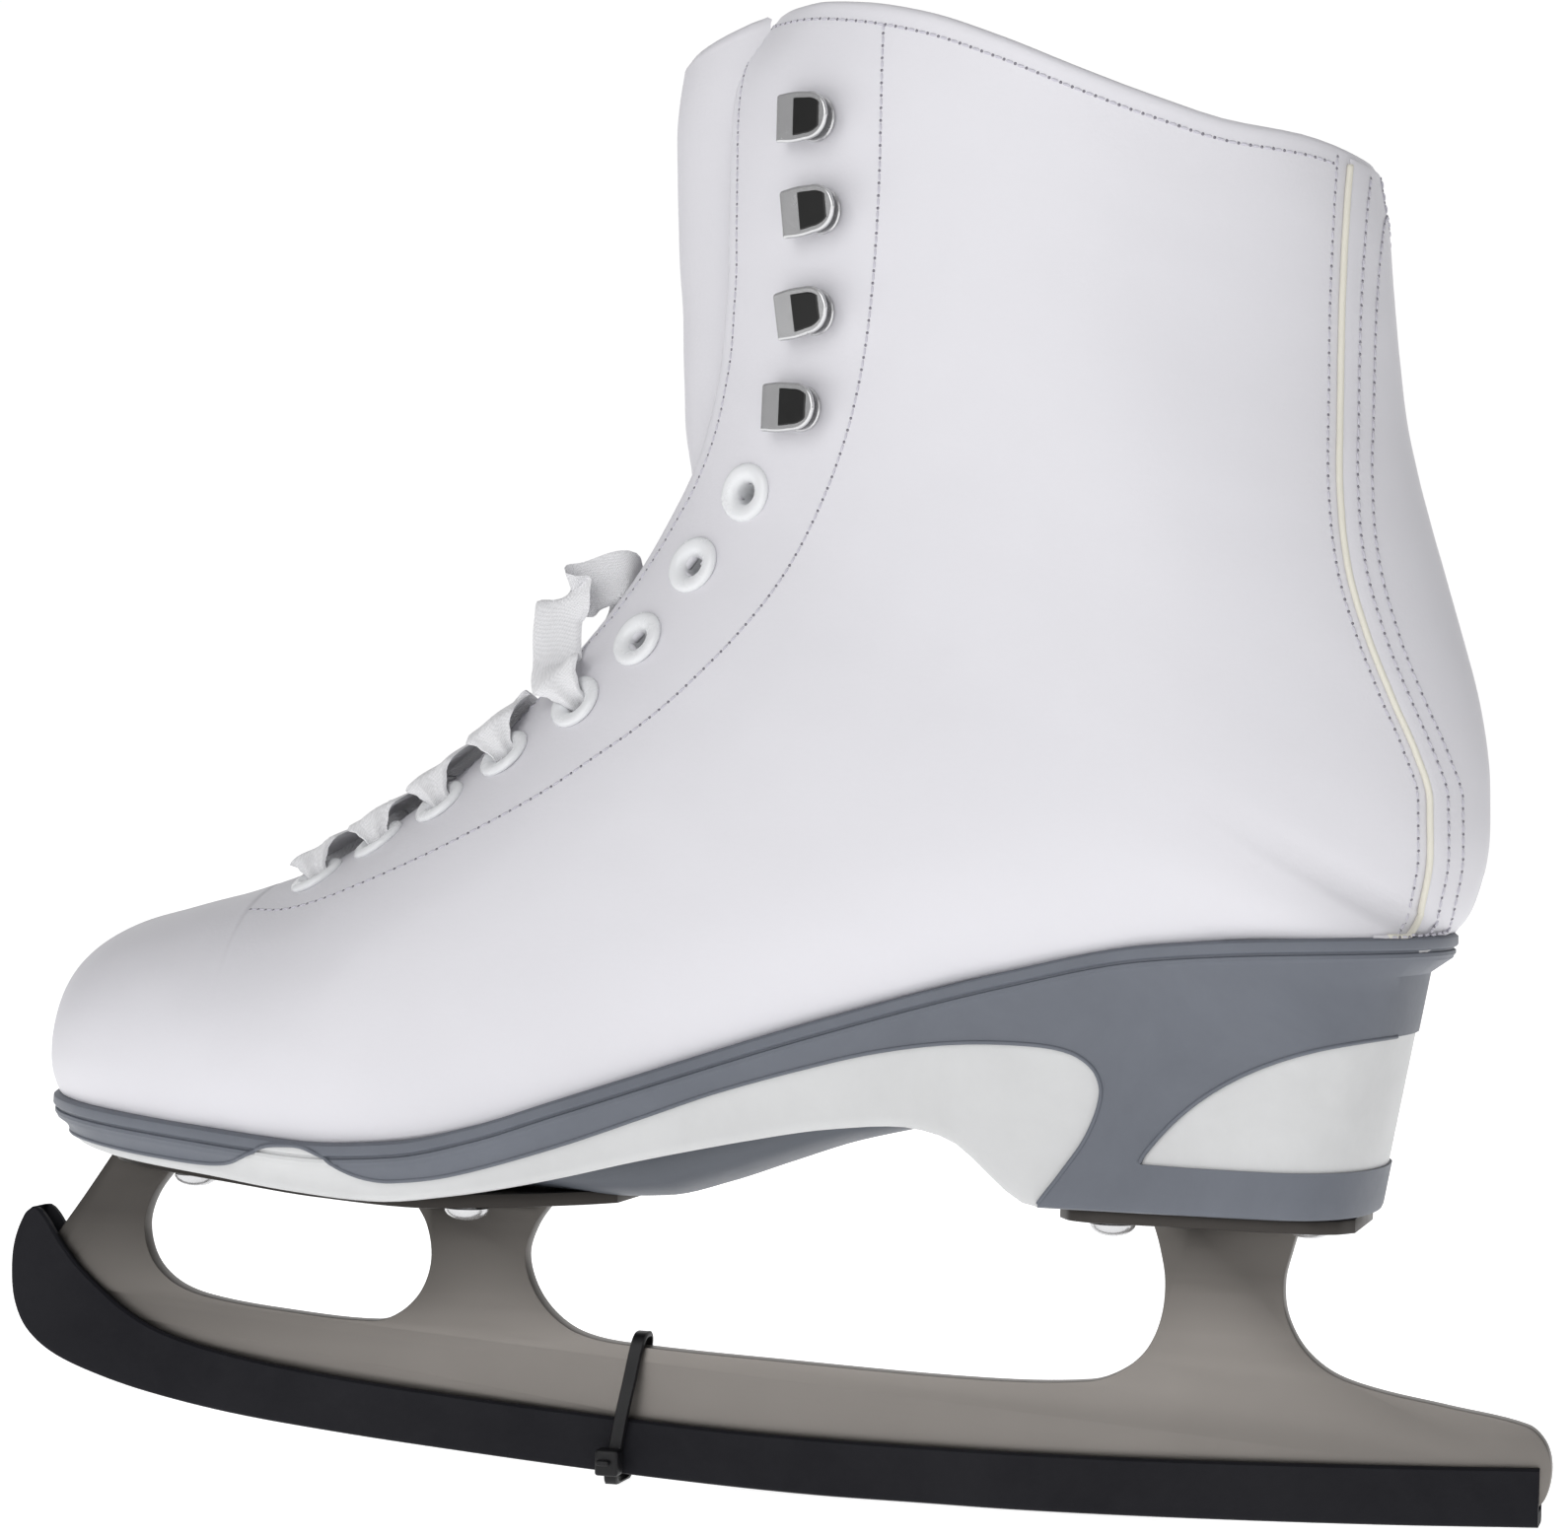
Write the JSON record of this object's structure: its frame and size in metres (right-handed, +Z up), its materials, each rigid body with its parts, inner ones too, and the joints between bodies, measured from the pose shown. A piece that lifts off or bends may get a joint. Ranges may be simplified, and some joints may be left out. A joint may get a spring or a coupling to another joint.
{
  "type": "figure ice skate",
  "caption": "High white leather figure skate with a two-colour heeled sole, a toe-pick blade on riveted plates, a hook-and-eyelet lacing and a rubber edge guard held by a tie.",
  "frame": {"origin": "under the middle of the skate's length and width, at the lowest point of the edge guard", "axes": "+X from toe to heel along the blade, -Y towards the outer side of the foot (a left skate), +Z up"},
  "size_m": [0.302, 0.0938, 0.2775],
  "materials": {
    "satin_steel": "satin, fine grinding lines",
    "nickel": "bright nickel plating",
    "guard_rubber": "matte black",
    "black_nylon": "matte black",
    "grey_sole": "slate grey, lightly satin",
    "shank_grey": "darker grey, lightly satin",
    "white_moulding": "white, softly glossy",
    "white_leather": "white coated leather, fine grain",
    "tongue_leather": "white coated leather, soft",
    "lining": "pale brushed lining",
    "board": "compressed fibre board",
    "footbed": "pale fabric over foam",
    "white_enamel": "white enamel",
    "lace": "white flat woven braid"
  },
  "bodies": {
    "boot": {"blade": "satin_steel", "sole_plate": "satin_steel", "heel_plate": "satin_steel", "edge_guard": "guard_rubber", "cable_tie": "black_nylon", "sole_frame": "grey_sole", "shank_ridge": "shank_grey", "arch_core": "white_moulding", "heel_core": "white_moulding", "vamp": "white_leather", "outer_quarter": "white_leather", "inner_quarter": "white_leather", "backstay": "white_leather", "lining_lower": "lining", "heel_counter": "board", "insole_board": "board", "footbed": "footbed", "tongue_lower": "tongue_leather", "lace_lacing": "lace", "lace_tail_outer": "lace", "lace_tail_inner": "lace", "lace_hank_outer": "lace", "lace_hank_inner": "lace", "sole_screw_1": "nickel", "heel_screw_1": "nickel", "sole_screw_2": "nickel", "heel_screw_2": "nickel", "sole_screw_3": "nickel", "heel_screw_3": "nickel", "sole_screw_4": "nickel", "heel_screw_4": "nickel", "eyelet_outer_1": "white_enamel", "eyelet_outer_2": "white_enamel", "eyelet_outer_3": "white_enamel", "eyelet_outer_4": "white_enamel", "eyelet_outer_5": "white_enamel", "eyelet_outer_6": "white_enamel", "eyelet_outer_7": "white_enamel", "eyelet_outer_8": "white_enamel", "eyelet_inner_1": "white_enamel", "eyelet_inner_2": "white_enamel", "eyelet_inner_3": "white_enamel", "eyelet_inner_4": "white_enamel", "eyelet_inner_5": "white_enamel", "eyelet_inner_6": "white_enamel", "eyelet_inner_7": "white_enamel", "eyelet_inner_8": "white_enamel"},
    "outer_cuff": {"outer_cuff": "white_leather", "lining_outer_cuff": "lining", "hook_outer_1": "nickel", "hook_outer_2": "nickel", "hook_outer_3": "nickel", "hook_outer_4": "nickel"},
    "inner_cuff": {"inner_cuff": "white_leather", "lining_inner_cuff": "lining", "hook_inner_1": "nickel", "hook_inner_2": "nickel", "hook_inner_3": "nickel", "hook_inner_4": "nickel"},
    "tongue": {"tongue_upper": "tongue_leather"}
  },
  "joints": [
    {"name": "outer_cuff_fold", "type": "hinge", "parent": "boot", "child": "outer_cuff", "pos_m": [0.0055, -0.0395, 0.195], "axis": [0.9063, 0, 0.4226], "range_deg": [0, 12]},
    {"name": "inner_cuff_fold", "type": "hinge", "parent": "boot", "child": "inner_cuff", "pos_m": [0.0055, 0.0395, 0.195], "axis": [-0.9063, 0, -0.4226], "range_deg": [0, 12]},
    {"name": "tongue_fold", "type": "hinge", "parent": "boot", "child": "tongue", "pos_m": [-0.018, 0, 0.191], "axis": [0, -1, 0], "range_deg": [0, 18]}
  ],
  "couplings": [
    {"joint": "inner_cuff_fold", "follows": "outer_cuff_fold", "ratio": 1},
    {"joint": "tongue_fold", "follows": "outer_cuff_fold", "ratio": 1.5}
  ]
}
